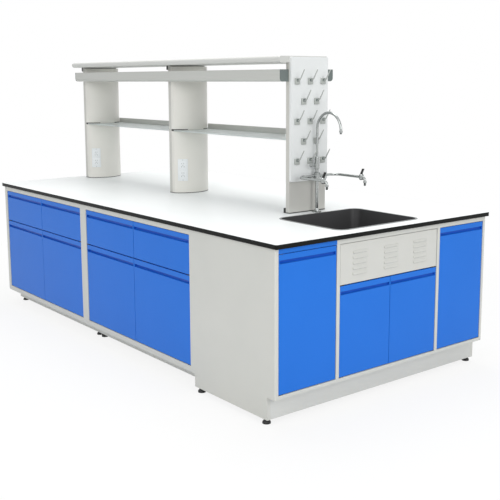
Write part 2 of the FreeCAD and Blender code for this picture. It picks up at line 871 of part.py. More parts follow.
# Front with the finger pull: a slab with a hooked groove under its top edge, closed at both ends.
def front(name, width, height):
    piece = body(name)
    lip_low = height - S.lip_height
    throat_low = lip_low - S.pull_throat
    fade_radius = (S.pull_fade * S.pull_fade + S.pull_depth * S.pull_depth) / (S.pull_depth * 2)
    slab = draw(sketch_on(piece, "YZ_Plane"), rectangle(0, S.front_thickness, 0, height))
    extrude(piece, slab, width)
    groove = draw(sketch_on(piece, "YZ_Plane", S.pull_end), [
        (0, lip_low),
        (S.lip_thickness, lip_low),
        (S.lip_thickness, lip_low + S.pull_hook),
        (S.pull_depth, lip_low + S.pull_hook),
        (S.pull_depth, throat_low, -fade_radius),
        (0, throat_low - S.pull_fade),
    ])
    pocket(piece, groove, width - 2 * S.pull_end, True)
    return piece


def door(label, side, centre_x, across, width, low, high, hinge_left):
    """Door hung on pins in its top and bottom edges, next to its outer side."""
    piece = front(label.title().replace("_", ""), width, high - low)
    pin_x = S.pivot_edge if hinge_left else width - S.pivot_edge
    bore = S.pivot_radius + S.pivot_fit
    depth = S.pivot_length + S.running_gap
    foot = disc(sketch_on(piece, "XY_Plane", 0, pin_x, S.pivot_back), bore)
    pocket(piece, foot, depth, True)
    head = disc(sketch_on(piece, "XY_Plane", high - low, pin_x, S.pivot_back), bore)
    pocket(piece, head, depth)
    node(seat(piece, side, centre_x, across, S.front_recess, low), label)


def pivots(name, side, centre_x, edge, hinge_left, low, high, frame_edge):
    """Pair of plates fixed beside the door, each with a pin that enters the door's edge."""
    pin_x = edge + S.pivot_edge if hinge_left else edge - S.pivot_edge
    plate_x = frame_edge if hinge_left else frame_edge - S.plate_length
    depth = S.front_recess + S.pivot_back
    pair = []
    for end, plate_z, pin_z in (
            ("Foot", low - S.running_gap - S.pivot_plate, low - S.running_gap),
            ("Head", high + S.running_gap, high + S.running_gap - S.pivot_length)):
        plate = box(name + end + "Plate", plate_x, plate_x + S.plate_length, S.front_recess, S.frame_depth,
                    plate_z, plate_z + S.pivot_plate)
        pin = cylinder(name + end + "Pin", S.pivot_radius, S.pivot_length, pin_x, depth, pin_z)
        pair.append(fuse(name + end, plate, pin))
    return seat(group(name, *pair), side, centre_x, 0, 0, 0)


# Drawer: front, open box behind it, and two fixed rails that carry the box by its lower edges.
box_low = divider_top + S.ledge_thickness + S.running_gap
rail_inner = S.inner_board / 2 + S.runner_thickness
box_inner = rail_inner + S.running_gap
box_outer = opening - S.front_gap
box_length = S.unit_depth - front_back - S.box_behind


def drawer_box(label, side, centre_x, hand):
    name = label.title().replace("_", "")
    x0 = box_inner if hand > 0 else -box_outer
    x1 = box_outer if hand > 0 else -box_inner
    back = front_back + box_length
    high = box_low + S.box_height
    shell = box(name + "Shell", x0, x1, front_back, back, box_low, high)
    space = box(name + "Space", x0 + S.box_wall, x1 - S.box_wall, front_back + S.box_wall,
                back - S.box_wall, box_low + S.box_floor, high)
    node(seat(cut(name, shell, space), side, centre_x, 0, 0, 0), label)


def runner(name, hand, fixed_x, web):
    """Angle rail: a web beside the box and a ledge under it; hand points from the rail to the box."""
    piece = body(name)
    top = divider_top + S.runner_height
    ledge_top = divider_top + S.ledge_thickness
    edge = fixed_x + web * hand
    tip = edge + S.runner_ledge * hand
    points = [(fixed_x, divider_top), (tip, divider_top), (tip, ledge_top), (edge, ledge_top),
              (edge, top), (fixed_x, top)]
    profile = draw(sketch_on(piece, "XZ_Plane", -inner_start), points if hand > 0 else points[::-1])
    extrude(piece, profile, box_length - 2 * S.box_wall, True)
    return piece


runner_sets = []
pivot_sets = []
half_gap = S.front_gap / 2
front_width = box_outer - half_gap
for side in ("near", "far"):
    for unit, centre_x in ((1, left_x + half_unit), (2, seam_x + half_unit)):
        away = -1 if side == "near" else 1
        base_unit("cabinet_%s_%d" % (side, unit), side, centre_x, away if unit == 1 else 0)
        rails = []
        inner = half_unit - S.side_board
        outer_web = inner - box_outer - S.running_gap
        for hand in (-1, 1):
            # pieces are counted from the far end towards the sink on both sides
            along = hand if side == "near" else -hand
            number = 2 * unit - (1 if along < 0 else 0)
            left = -box_outer if hand < 0 else half_gap
            panel = front("DrawerFront%s%d" % (side.title(), number), front_width, S.drawer_height)
            seat(panel, side, centre_x, left, S.front_recess, drawer_bottom)
            node(panel, "drawer_front_%s_%d" % (side, number))
            drawer_box("drawer_box_%s_%d" % (side, number), side, centre_x, hand)
            tag = "%s%d" % (side.title(), number)
            rails.append(runner("OuterRail" + tag, -hand, inner * hand, outer_web))
            rails.append(runner("InnerRail" + tag, hand, S.inner_board / 2 * hand, S.runner_thickness))
            door("door_%s_%d" % (side, number), side, centre_x, left, front_width,
                 door_bottom, door_top, hand < 0)
            pivot_sets.append(pivots("Pivots" + tag, side, centre_x, box_outer * hand, hand < 0,
                                     door_bottom, door_top, opening * hand))
        runner_sets.append(seat(group("Rails%s%d" % (side.title(), unit), *rails),
                                side, centre_x, 0, 0, 0))
node(group("DrawerRunners", *runner_sets), "drawer_runners")

# Sink unit across the end: panels with a toe notch, partitions, floor, back, rails and cleats.
end_floor_top = S.end_floor + S.base_board
end_top = under - S.end_rail
inner_y = face_y - S.panel_thickness
bay_in = S.sink_bay / 2
bay_out = bay_in + S.panel_thickness
vent_top = end_top - S.front_gap
vent_low = vent_top - S.vent_height
side_panel = body("NearSidePanel")
panel_outline = draw(sketch_on(side_panel, "XZ_Plane", face_y), [
    (sink_x, S.foot_clear),
    (end_x - S.end_toe, S.foot_clear),
    (end_x - S.end_toe, S.end_floor),
    (end_x, S.end_floor),
    (end_x, under),
    (sink_x, under),
])
extrude(side_panel, panel_outline, S.panel_thickness, True)
round_edges(side_panel, S.panel_corner,
            lambda edge: all_at(edge, "x", end_x) and all_at(edge, "y", -face_y))
back_face = sink_x + S.back_board
rail_x = end_x - S.frame_depth
cleat_x = end_x - front_back - S.cleat_width
sink_unit = [
    side_panel,
    mirror("FarSidePanel", side_panel),
    box("NearPartition", back_face, end_x, -bay_out, -bay_in, end_floor_top, under),
    box("FarPartition", back_face, end_x, bay_in, bay_out, end_floor_top, under),
    box("SinkUnitFloor", sink_x, end_x, -inner_y, inner_y, S.end_floor, end_floor_top),
    box("SinkUnitBack", sink_x, back_face, -inner_y, inner_y, end_floor_top, under),
    box("SinkBayRail", rail_x, end_x, -bay_in, bay_in, end_top, under),
    box("FarBayRail", rail_x, end_x, bay_out, inner_y, end_top, under),
    box("NearCleat", cleat_x, end_x - front_back, -bay_in, S.cleat_width - bay_in, vent_low, vent_top),
    box("FarCleat", cleat_x, end_x - front_back, bay_in - S.cleat_width, bay_in, vent_low, vent_top),
]
node(group("SinkUnit", *sink_unit), "sink_cabinet")
node(box("NearBayRail", rail_x, end_x, -inner_y, -bay_out, end_top, under), "near_bay_top_rail")

# Vented panel: folded sheet with three groups of five hooded louvres.
vent_width = S.sink_bay - S.front_gap * 2
vent = body("VentedPanel")
vent_block = draw(sketch_on(vent, "XZ_Plane"), rectangle(0, vent_width, 0, S.vent_height))
extrude(vent, vent_block, S.front_thickness, True)
vent_hollow = draw(sketch_on(vent, "XZ_Plane", -S.front_thickness),
                   rectangle(S.vent_sheet, vent_width - S.vent_sheet,
                             S.vent_sheet, S.vent_height - S.vent_sheet))
pocket(vent, vent_hollow, S.front_thickness - S.vent_sheet, True)
for column_number in (-1, 0, 1):
    start = vent_width / 2 + S.louvre_spacing * column_number - S.louvre_length / 2
    hoods = sketch_on(vent, "YZ_Plane", start)
    for row_number in (-2, -1, 0, 1, 2):
        low = S.vent_height / 2 + S.louvre_pitch * row_number - S.louvre_height / 2
        draw(hoods, [
            (-S.louvre_depth, low),
            (S.vent_sheet / 2, low),
            (S.vent_sheet / 2, low + S.louvre_height),
            (0, low + S.louvre_height, S.louvre_height * 2),
            (-S.louvre_depth, low + S.louvre_lip),
        ])
    extrude(vent, hoods, S.louvre_length)
seat(vent, "end", 0, S.front_gap - bay_in, S.front_recess, vent_low)
node(vent, "vented_panel")

# End doors: a tall one beside each corner and a pair under the vented panel.
tall_top = end_top - S.pivot_plate - S.running_gap
end_low = end_floor_top + S.pivot_plate + S.running_gap
tall_width = inner_y - bay_out - S.front_gap * 2
pair_width = bay_in - S.front_gap - half_gap
pair_top = vent_low - S.front_split
for label, left, width, high, hinge_left, frame_edge in (
        ("door_end_near", S.front_gap - inner_y, tall_width, tall_top, True, -inner_y),
        ("door_end_sink_near", S.front_gap - bay_in, pair_width, pair_top, True, -bay_in),
        ("door_end_sink_far", half_gap, pair_width, pair_top, False, bay_in),
        ("door_end_far", bay_out + S.front_gap, tall_width, tall_top, False, inner_y)):
    door(label, "end", 0, left, width, end_low, high, hinge_left)
    edge = left if hinge_left else left + width
    pivot_sets.append(pivots("Pivots" + label.title().replace("_", ""), "end", 0, edge, hinge_left,
                             end_low, high, frame_edge))
node(group("HingePivots", *pivot_sets), "hinge_pivots")

# Plinth boards, set back, and levelling feet: cone pad and stem.
toe_y = face_y - S.toe_recess
near_toe = box("NearToe", left_x, sink_x, -toe_y, S.toe_board - toe_y, S.foot_clear, S.frame_bottom)
end_toe = box("EndToe", end_x - S.end_toe - S.toe_board, end_x - S.end_toe, -inner_y, inner_y,
              S.foot_clear, S.end_floor)
node(group("ToeKicks", near_toe, mirror("FarToe", near_toe), end_toe), "toe_kicks")


def foot(name, x, y, height):
    piece = body(name)
    profile = draw(sketch_on(piece, "XZ_Plane"), [
        (0, 0),
        (S.foot_radius, 0),
        (S.foot_radius, S.foot_pad),
        (S.foot_neck, S.foot_cone),
        (S.foot_neck, height),
        (0, height),
    ])
    revolve(piece, profile)
    return put(piece, x, y, 0)


feet = []
for unit_left in (left_x, seam_x):
    for x in (unit_left + S.foot_inset, unit_left + unit_width - S.foot_inset):
        for y in (face_y - S.foot_front, face_y - S.unit_depth + S.foot_behind):
            feet.append(foot("NearFoot", x, -y, S.frame_bottom))
            feet.append(foot("FarFoot", x, y, S.frame_bottom))
for x in (sink_x + S.foot_inset, end_x - S.end_toe - S.foot_inset):
    for hand in (-1, 1):
        feet.append(foot("EndFoot", x, (face_y - S.end_foot_edge) * hand, S.foot_clear))
node(group("LevellingFeet", *feet), "levelling_feet")

# Reagent rack: three flat hollow posts on thin black shoes.
rack_x = sink_low_x - S.rack_behind
rack_pitch = (rack_x - S.post_thickness - S.rack_far + half_length) / 2
half_rack = S.rack_width / 2
rack_foot = S.bench_height + S.shoe_height
rack_top = S.bench_height + S.rack_height
glass_low = S.bench_height + S.shelf_height
glass_top = glass_low + S.glass_thickness
post_rights = [rack_x - rack_pitch * step for step in (2, 1, 0)]
posts = []
for number, right in enumerate(post_rights, 1):
    left = right - S.post_thickness
    outer = box("PostOuter%d" % number, left, right, -half_rack, half_rack, rack_foot, rack_top)
    hollow = box("PostHollow%d" % number, left + S.post_wall, right - S.post_wall,
                 S.post_wall - half_rack, half_rack - S.post_wall, rack_foot, rack_top)
    posts.append(cut("Post%d" % number, outer, hollow))
node(group("RackPosts", *posts), "rack_posts")


# Bulged covers on the sink side of the first two posts, split where the glass passes through.
def bulge_radius(half_chord, bulge):
    return (half_chord * half_chord + bulge * bulge) / (bulge * 2)


def cover_outline(back, half_chord):
    return [(back, -half_chord), (S.cover_side, -half_chord, bulge_radius(half_chord, S.cover_bulge)),
            (S.cover_side, half_chord), (back, half_chord)]


cover_half = half_rack - S.running_gap
cover_outer = cover_outline(0, cover_half)
skin_half = cover_half - S.cover_wall
skin_radius = bulge_radius(skin_half, S.cover_bulge - S.cover_wall)
cover_skin = [(0, skin_half), (S.cover_side, skin_half, -skin_radius), (S.cover_side, -skin_half),
              (0, -skin_half)]


def cover(name, right, low, high):
    piece = body(name)
    profile = draw(sketch_on(piece, "XY_Plane"), cover_outer + cover_skin)
    extrude(piece, profile, high - low)
    return put(piece, right, 0, low)


covers = []
for number, right in enumerate(post_rights[:2], 1):
    covers.append(cover("LowerCover%d" % number, right, rack_foot, glass_low))
    covers.append(cover("UpperCover%d" % number, right, glass_top + S.running_gap, rack_top - S.cover_head))
node(group("PostCovers", *covers), "post_covers")

# Rails along both sides of the rack: hollow section with a rounded lower outer edge, and end caps.
beam_top = rack_top - S.beam_drop
beam_low = beam_top - S.beam_height
beam_start = post_rights[0] - S.post_thickness - S.beam_left
beam_end = rack_x - S.beam_right


def beam_section(inset):
    """Section seen along X: y from the post outwards, z up, drawn for the near rail."""
    corner = S.beam_corner - inset
    near = half_rack + inset
    away = half_rack + S.beam_width - inset
    return [(-away + corner, beam_low + inset), (-near, beam_low + inset), (-near, beam_top - inset),
            (-away, beam_top - inset), (-away, beam_low + inset + corner, corner)]


def rail(name, start, length, hollow):
    piece = body(name)
    sketch = draw(sketch_on(piece, "YZ_Plane"), beam_section(0))
    if hollow:
        draw(sketch, beam_section(S.beam_wall))
    extrude(piece, sketch, length)
    return put(piece, start, 0, 0)


near_beam = rail("NearBeam", beam_start, beam_end - beam_start, True)
node(group("RackBeams", near_beam, mirror("FarBeam", near_beam)), "rack_beams")
near_caps = [rail("NearCapLeft", beam_start - S.cap_length, S.cap_length, False),
             rail("NearCapRight", beam_end, S.cap_length, False)]
far_caps = [mirror("FarCap%d" % number, cap) for number, cap in enumerate(near_caps, 1)]
node(group("BeamEndCaps", *near_caps, *far_caps), "beam_end_caps")

# Top board with bullnose edges; it overhangs the near rail and is nearly flush with the posts' far side.
board = body("TopBoard")
board_start = post_rights[0] - S.post_thickness - S.board_left
board_outline = draw(sketch_on(board, "XY_Plane", rack_top),
                     rectangle(board_start, rack_x, -S.board_near, S.board_far))
extrude(board, board_outline, S.board_thickness)
round_edges(board, S.board_edge,
            lambda edge: (all_at(edge, "y", S.board_far) or all_at(edge, "y", -S.board_near)
                          or all_at(edge, "x", board_start)) and not all_at(edge, "x", rack_x)
            and edge.BoundBox.ZLength < 1)
node(board, "top_board")

# Glass shelves from post to post, carried by the lower covers and by brackets, and their guard rails.
glass = []
guards = []
fittings = []
for bay in (0, 1):
    start = post_rights[bay] + S.running_gap
    stop = post_rights[bay + 1] - S.post_thickness - S.running_gap
    glass.append(box("Glass%d" % (bay + 1), start, stop, -cover_half, cover_half, glass_low, glass_top))
    guards.append(box("Guard%d" % (bay + 1), start + S.guard_start, stop, half_rack - S.guard_thickness,
                      half_rack, glass_top, glass_top + S.guard_height))
    post_face = post_rights[bay + 1] - S.post_thickness
    for hand in (-1, 1):
        middle = S.bracket_side * hand
        fittings.append(box("ShelfBracket", post_face - S.bracket_length, post_face,
                            middle - S.bracket_width / 2, middle + S.bracket_width / 2,
                            glass_low - S.bracket_height, glass_low))
node(group("GlassShelves", *glass), "glass_shelves")
node(group("GuardRails", *guards), "shelf_guard_rails")
corner = half_rack - S.block_width
for number, right in enumerate(post_rights, 1):
    # the first two posts have corner blocks under the top board, the last one has them on the worktop
    face = right - S.post_thickness
    low = S.bench_height if number == len(post_rights) else rack_top - S.block_height
    for y0, y1 in ((-half_rack, -corner), (corner, half_rack)):
        fittings.append(box("CornerBlock%d" % number, face - S.block_length, face, y0, y1,
                            low, low + S.block_height))
shoe_back = -S.post_thickness - S.shoe_edge
for number, right in enumerate(post_rights, 1):
    shoe = body("PostShoe%d" % number)
    outline = cover_outline(shoe_back, half_rack)
    if number == len(post_rights):
        outline = rectangle(shoe_back, S.shoe_edge, -half_rack, half_rack)
    extrude(shoe, draw(sketch_on(shoe, "XY_Plane"), outline), S.shoe_height)
    fittings.append(put(shoe, right, 0, S.bench_height))
node(group("RackFittings", *fittings), "rack_fittings")

# Socket plates, hollowed behind to sit on the bulge of the lower covers.
cover_radius = bulge_radius(cover_half, S.cover_bulge)
plates = []
for number, right in enumerate(post_rights[:2], 1):
    bulge_x = right + S.cover_side + S.cover_bulge - cover_radius
    low = S.bench_height + S.socket_low
    blank = box("SocketBlank%d" % number, cover_radius - S.socket_depth, cover_radius + S.socket_depth,
                -S.socket_width / 2, S.socket_width / 2, 0, S.socket_height)
    curve = cylinder("SocketSeat%d" % number, cover_radius, S.socket_height)
    plate = cut("SocketPlate%d" % number, blank, curve)
    put(plate, bulge_x, 0, low, S.socket_turn.value, Vector(0, 0, -1))
    plate.setExpression("Placement.Rotation.Angle", S.socket_turn.text)
    plates.append(plate)
node(group("SocketPlates", *plates), "socket_plates")

# Pegboard on the sink-end post, with drying pegs in staggered rows.
panel = body("Pegboard")
pegboard_low = S.bench_height + S.pegboard_low
pegboard_top = rack_top + S.board_thickness - S.pegboard_drop
panel_outline = draw(sketch_on(panel, "YZ_Plane", rack_x),
                     rectangle(-half_rack, half_rack, pegboard_low, pegboard_top, S.pegboard_corner))
extrude(panel, panel_outline, S.pegboard_thickness)
node(panel, "pegboard")


def peg(name, y, z):
    """Square base with a round rod that rises outwards."""
    piece = body(name)
    half_base = S.peg_base / 2
    base = draw(sketch_on(piece, "YZ_Plane"), rectangle(-half_base, half_base, -half_base, half_base))
    extrude(piece, base, S.peg_base_depth)
    spine = draw(sketch_on(piece, "XZ_Plane"), [
        (S.peg_base_depth / 2, 0),
        (S.peg_base_depth, 0, S.peg_knee_radius),
        (S.peg_base_depth + S.peg_knee, S.peg_knee_rise),
        (S.peg_base_depth + S.peg_reach, S.peg_rise),
    ], False)
    sweep(piece, disc(sketch_on(piece, "YZ_Plane", S.peg_base_depth / 2), S.peg_radius), spine)
    return put(piece, rack_x + S.pegboard_thickness, y, z)


pegs = []
peg_rows = 5
peg_row = (pegboard_top - pegboard_low - S.peg_low - S.peg_high) / (peg_rows - 1)
for row in range(peg_rows):
    z = pegboard_low + S.peg_low + peg_row * row
    spots = (-1, 0, 1) if row % 2 == 0 else (-0.5, 0.5)
    for spot in spots:
        pegs.append(peg("Peg", S.peg_pitch * spot, z))
node(group("DryingPegs", *pegs), "drying_pegs")

doc.recompute()

failed = [obj.Label for obj in doc.Objects if "Invalid" in obj.State or "Error" in obj.State]
if failed:
    raise RuntimeError("objects that failed: " + ", ".join(failed))
for obj in nodes:
    if obj.Shape.isNull() or not obj.Shape.isValid() or not obj.Shape.Solids:
        raise RuntimeError("no valid solid: " + obj.Label)

os.makedirs("parts", exist_ok=True)
for obj in nodes:
    shape = Part.makeCompound(obj.Shape.Solids) if len(obj.Shape.Solids) > 1 else obj.Shape
    shape.exportStep("parts/%s.step" % obj.Label)
print("%d sub-parts, %d solids" % (len(nodes), sum(len(obj.Shape.Solids) for obj in nodes)))
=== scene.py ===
# %% [markdown]
# # A laboratory bench with a sink
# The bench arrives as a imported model. Worktop, cabinets, fronts, tap and rack are solids already, in
# metres, with the floor at z = 0 and the sink towards +X. This lesson dresses them: it sets up a camera
# and soft light, gives every solid the finish of the real material, and adds the fittings that are too
# fine for the solids.

import json
import math

import bmesh
import bpy
from mathutils import Matrix, Vector


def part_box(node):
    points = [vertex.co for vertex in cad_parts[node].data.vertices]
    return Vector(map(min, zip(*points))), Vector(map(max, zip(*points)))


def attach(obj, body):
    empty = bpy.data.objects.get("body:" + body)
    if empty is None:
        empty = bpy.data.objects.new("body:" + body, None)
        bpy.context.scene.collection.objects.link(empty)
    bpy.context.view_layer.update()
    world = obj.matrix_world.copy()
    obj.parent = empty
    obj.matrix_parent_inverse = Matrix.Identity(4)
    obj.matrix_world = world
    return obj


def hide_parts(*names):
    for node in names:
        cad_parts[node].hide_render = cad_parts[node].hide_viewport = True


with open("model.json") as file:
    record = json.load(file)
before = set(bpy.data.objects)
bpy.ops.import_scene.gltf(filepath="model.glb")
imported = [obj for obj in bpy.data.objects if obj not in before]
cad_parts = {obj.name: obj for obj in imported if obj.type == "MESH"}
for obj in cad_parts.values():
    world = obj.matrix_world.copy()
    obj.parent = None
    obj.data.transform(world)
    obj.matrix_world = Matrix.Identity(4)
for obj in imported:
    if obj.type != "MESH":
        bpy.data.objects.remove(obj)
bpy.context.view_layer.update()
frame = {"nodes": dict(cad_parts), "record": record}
nodes = frame["nodes"]
scene = bpy.context.scene

# %% [markdown]
# ## Camera
# The bench is seen from its sink corner, a little above the worktop. A camera in Blender looks along its
# own -Z, so its matrix is built from three directions: back towards the viewer, right and up. A Track To
# constraint could aim it as well, but not with the slight roll that it has here. The lens is long, about
# 62 mm, which keeps the far end of the bench from shrinking too much.

# %% Camera
camera_spot = (4.3295, -3.1176, 1.5615)
azimuth, elevation, roll = (math.radians(angle) for angle in (51.831, 8.853, -0.226))
back = Vector((math.sin(azimuth) * math.cos(elevation),
               -math.cos(azimuth) * math.cos(elevation),
               math.sin(elevation)))
right = Vector((0, 0, 1)).cross(back).normalized()
up = back.cross(right)
turn = Matrix((right, up, back)).transposed() @ Matrix.Rotation(roll, 3, "Z")
camera_data = bpy.data.cameras.new("bench_camera")
camera_data.sensor_width = 36
camera_data.lens = 62.46
camera_data.shift_y = -0.072
camera = bpy.data.objects.new("bench_camera", camera_data)
camera.matrix_world = Matrix.Translation(camera_spot) @ turn.to_4x4()
scene.collection.objects.link(camera)
scene.camera = camera
print("camera at", camera_spot)

# %% [markdown]
# ## One way to write a material
# Every finish below is a small network of nodes. Helpers keep them readable: one turns a web colour into
# the linear numbers that the renderer mixes, one adds a node, sets it and links its inputs in one call,
# and one lets a pattern set gloss and relief together. Patterns read Object coordinates, which are metres
# here, so a noise with a scale of 1000 / n has features about n mm wide.

# %% Colours and nodes
def linear(hex_colour):
    channels = [int(hex_colour[index:index + 2], 16) / 255 for index in (1, 3, 5)]
    return [c / 12.92 if c <= 0.04045 else ((c + 0.055) / 1.055) ** 2.4 for c in channels] + [1.0]


def add(tree, kind, links=None, **settings):
    """Add a node; an input takes a plain value, or the output socket of another node."""
    node = tree.nodes.new("ShaderNode" + kind)
    for name, value in settings.items():
        setattr(node, name, value)
    for name, value in (links or {}).items():
        if isinstance(value, bpy.types.NodeSocket):
            tree.links.new(value, node.inputs[name])
        else:
            node.inputs[name].default_value = value
    return node


print("half grey, #808080, is %.3f in linear light" % linear("#808080")[0])

# %% A finish and its roughness
def start_finish(name, **sockets):
    """An empty material with a Principled shader; sockets are the numbers that are the same all over."""
    material = bpy.data.materials.new(name)
    material.use_nodes = True
    tree = material.node_tree
    tree.nodes.clear()
    values = {socket.replace("_", " "): value for socket, value in sockets.items()}
    shader = add(tree, "BsdfPrincipled", values)
    add(tree, "OutputMaterial", {"Surface": shader.outputs["BSDF"]})
    return material, tree, shader.inputs, add(tree, "TexCoord").outputs["Object"]


def roughen(tree, surface, pattern, spread, rough, relief=0.0, strength=0.5):
    """Over the spread of a pattern, roughness goes from one end of rough to the other. Relief is in mm."""
    mapped = add(tree, "MapRange", {"Value": pattern, "From Min": spread[0], "From Max": spread[1],
                                    "To Min": rough[0], "To Max": rough[1]})
    tree.links.new(mapped.outputs[0], surface["Roughness"])
    if relief:
        bump = add(tree, "Bump", {"Height": pattern, "Distance": relief / 1000, "Strength": strength})
        tree.links.new(bump.outputs["Normal"], surface["Normal"])


print("a grain 2.5 mm wide is a noise with a scale of %.0f" % (1000 / 2.5))

# %% [markdown]
# ## Floor and light
# A photograph for a catalogue is taken on a white sweep under large soft lamps. The floor is a pale disc.
# Where the camera looks at it, it mixes much of its own light into its shade, so the shadow stays but
# turns soft, and it fades to plain white towards the rim. The world is white to the camera and in
# reflections, and a mild grey where it lights the bench.

# %% Paper of the floor
def seen_directly(tree):
    """1 where the camera looks, straight or by way of a mirror or glass, and 0 where light only bounces."""
    path = add(tree, "LightPath").outputs
    seen = add(tree, "Math", {0: path["Is Camera Ray"], 1: path["Is Glossy Ray"]}, operation="MAXIMUM")
    seen = add(tree, "Math", {0: seen.outputs[0], 1: path["Is Transmission Ray"]}, operation="MAXIMUM")
    return seen.outputs[0]


fade_start, fade_end = 1.8, 3.6
own_light = 0.85
floor_material = bpy.data.materials.new("white_paper_sweep")
floor_material.use_nodes = True
tree = floor_material.node_tree
tree.nodes.clear()
place = add(tree, "TexCoord").outputs["Object"]
distance = add(tree, "VectorMath", {0: place}, operation="LENGTH").outputs["Value"]
fade = add(tree, "MapRange", {"Value": distance, "From Min": fade_start, "From Max": fade_end,
                              "To Min": own_light, "To Max": 1.0}, interpolation_type="SMOOTHSTEP")
share = add(tree, "Math", {0: fade.outputs[0], 1: seen_directly(tree)}, operation="MULTIPLY").outputs[0]
paper = add(tree, "BsdfDiffuse", {"Color": linear("#f4f4f2")}).outputs[0]
glow = add(tree, "Emission", {"Color": (1, 1, 1, 1), "Strength": 1.0}).outputs[0]
mixed = add(tree, "MixShader", {0: share, 1: paper, 2: glow}).outputs[0]
add(tree, "OutputMaterial", {"Surface": mixed})
print("paper fades to white from %.1f to %.1f m" % (fade_start, fade_end))

# %% Floor
floor_radius, floor_drop = 9.0, 0.001
shape = bmesh.new()
bmesh.ops.create_circle(shape, cap_ends=True, segments=96, radius=floor_radius)
floor_mesh = bpy.data.meshes.new("floor")
shape.to_mesh(floor_mesh)
shape.free()
floor = bpy.data.objects.new("floor", floor_mesh)
floor.location.z = -floor_drop
floor_mesh.materials.append(floor_material)
scene.collection.objects.link(floor)
print("floor", floor.dimensions)

# %% World and lamps
world = bpy.data.worlds.new("white_studio")
world.use_nodes = True
scene.world = world
tree = world.node_tree
tree.nodes.clear()
plain = add(tree, "Background", {"Color": (1, 1, 1, 1), "Strength": 1.0}).outputs[0]
ambient = add(tree, "Background", {"Color": linear("#fbfcff"), "Strength": 0.60}).outputs[0]
mixed = add(tree, "MixShader", {0: seen_directly(tree), 1: ambient, 2: plain}).outputs[0]
add(tree, "OutputWorld", {"Surface": mixed})

lamps = (
    ("key_softbox", (2.6, -5.2, 3.6), (0.2, 0.0, 0.6), 3.2, 75),
    ("sink_softbox", (6.2, -0.6, 2.6), (1.2, 0.0, 0.6), 2.6, 84),
    ("top_softbox", (-0.3, 0.4, 4.6), (0.0, 0.0, 0.8), 3.6, 118),
)
for name, spot, target, size, power in lamps:
    lamp = bpy.data.lights.new(name, "AREA")
    lamp.shape = "DISK"
    lamp.size = size
    lamp.energy = power
    holder = bpy.data.objects.new(name, lamp)
    holder.location = spot
    holder.rotation_euler = (Vector(target) - Vector(spot)).to_track_quat("-Z", "Y").to_euler()
    scene.collection.objects.link(holder)
scene.view_settings.view_transform = "Standard"
print("%d lamps" % len(lamps))

# %% [markdown]
# ## Coated and moulded surfaces
# Most of the bench is board, painted metal or moulded plastic. Such surfaces look alike in build: a
# colour that wanders a little over the width of a hand, and a fine grain that breaks up the gloss. A
# picture of each surface could be used, but on a bench this long its repeats would show. So one function
# makes that pair from noise, with the sizes of both in millimetres, and each material then gets the
# numbers of the real one.

# %% One coat
def coat(name, light, dark, patch, grain, rough, relief):
    """Two close colours in soft patches; gloss and relief follow a fine grain. Sizes are in millimetres."""
    swing = 0.06
    material, tree, surface, place = start_finish(name)
    patches = add(tree, "TexNoise", {"Vector": place, "Scale": 1000 / patch, "Detail": 4.0,
                                     "Roughness": 0.55}).outputs["Fac"]
    tint = add(tree, "MixRGB", {"Fac": patches, "Color1": linear(light), "Color2": linear(dark)})
    tree.links.new(tint.outputs["Color"], surface["Base Color"])
    grains = add(tree, "TexNoise", {"Vector": place, "Scale": 1000 / grain, "Detail": 2.0}).outputs["Fac"]
    roughen(tree, surface, grains, spread=(0.3, 0.7), rough=(rough - swing, rough + swing), relief=relief,
            strength=0.6)
    return material


finishes = {}
print("coats can be mixed")

# %% Coats
# Most of the real grains are under 1 mm wide; they are drawn 1.2 to 3 mm wide so that they show.
# Melamine-faced board: light warm grey paper under resin, pressed with a fine pearl texture.
finishes["carcass_board"] = coat("melamine_board_grey", "#d2d2cc", "#cacbc5", 260, 2.5, 0.44, 0.02)
finishes["drawer_board"] = coat("melamine_board_drawer", "#d6d7d2", "#cccdc8", 180, 2.5, 0.48, 0.02)
finishes["rack_board"] = coat("laminated_rack_board", "#cfd0cb", "#c7c8c4", 240, 2.5, 0.38, 0.02)
# Polyester powder coat on sheet steel and aluminium: satin, with a slight ripple from the melt.
finishes["vent_sheet"] = coat("powder_coated_steel", "#d2d2cc", "#cacac4", 200, 3, 0.40, 0.03)
finishes["rack_metal"] = coat("powder_coated_aluminium", "#cbcac4", "#c2c2bc", 220, 3, 0.40, 0.03)
# ABS covers and caps: moulded, so the grain is a fine spark-eroded texture and the gloss is soft.
finishes["cover_plastic"] = coat("moulded_abs_cover", "#e6e4dd", "#dddcd5", 200, 2, 0.42, 0.02)
# The cap grey also serves below as painted shade: in the peg sockets, the socket slots and the louvres.
finishes["cap_grey"] = coat("moulded_abs_cap", "#6f7876", "#666f6d", 60, 1.5, 0.45, 0.05)
# PVC plinth board: extruded foil, duller than the cabinets.
finishes["plinth_grey"] = coat("pvc_plinth", "#d6d7d3", "#cdcecb", 240, 2.5, 0.50, 0.03)
# Polypropylene sink and waste: moulded, dense black-grey, satin with a pebbled mould texture.
finishes["sink_polypropylene"] = coat("moulded_polypropylene_sink", "#444445", "#3b3b3c", 120, 3, 0.42, 0.06)
finishes["waste_plastic"] = coat("moulded_polypropylene_waste", "#3a3b3b", "#303131", 40, 1.5, 0.45, 0.05)
# Silicone round the sink: mid grey, slightly glossy where it was drawn off.
finishes["rim_trim"] = coat("silicone_bead", "#747777", "#686b6b", 60, 2, 0.33, 0.05)
# Nylon feet, levers and fittings: moulded, black, with a granular skin; the levers are the smoothest.
finishes["foot_black"] = coat("glass_filled_nylon", "#1d1e1e", "#151616", 30, 1.5, 0.55, 0.08)
finishes["lever_black"] = coat("moulded_nylon_lever", "#1b1c1c", "#141515", 20, 1.2, 0.35, 0.03)
finishes["fitting_black"] = coat("moulded_nylon_fitting", "#2a2c2c", "#202222", 40, 1.5, 0.48, 0.05)
# Polycarbonate socket plates: moulded, bright white and glossy.
finishes["socket_white"] = coat("moulded_polycarbonate", "#eceff0", "#e6eaeb", 60, 2, 0.22, 0.02)
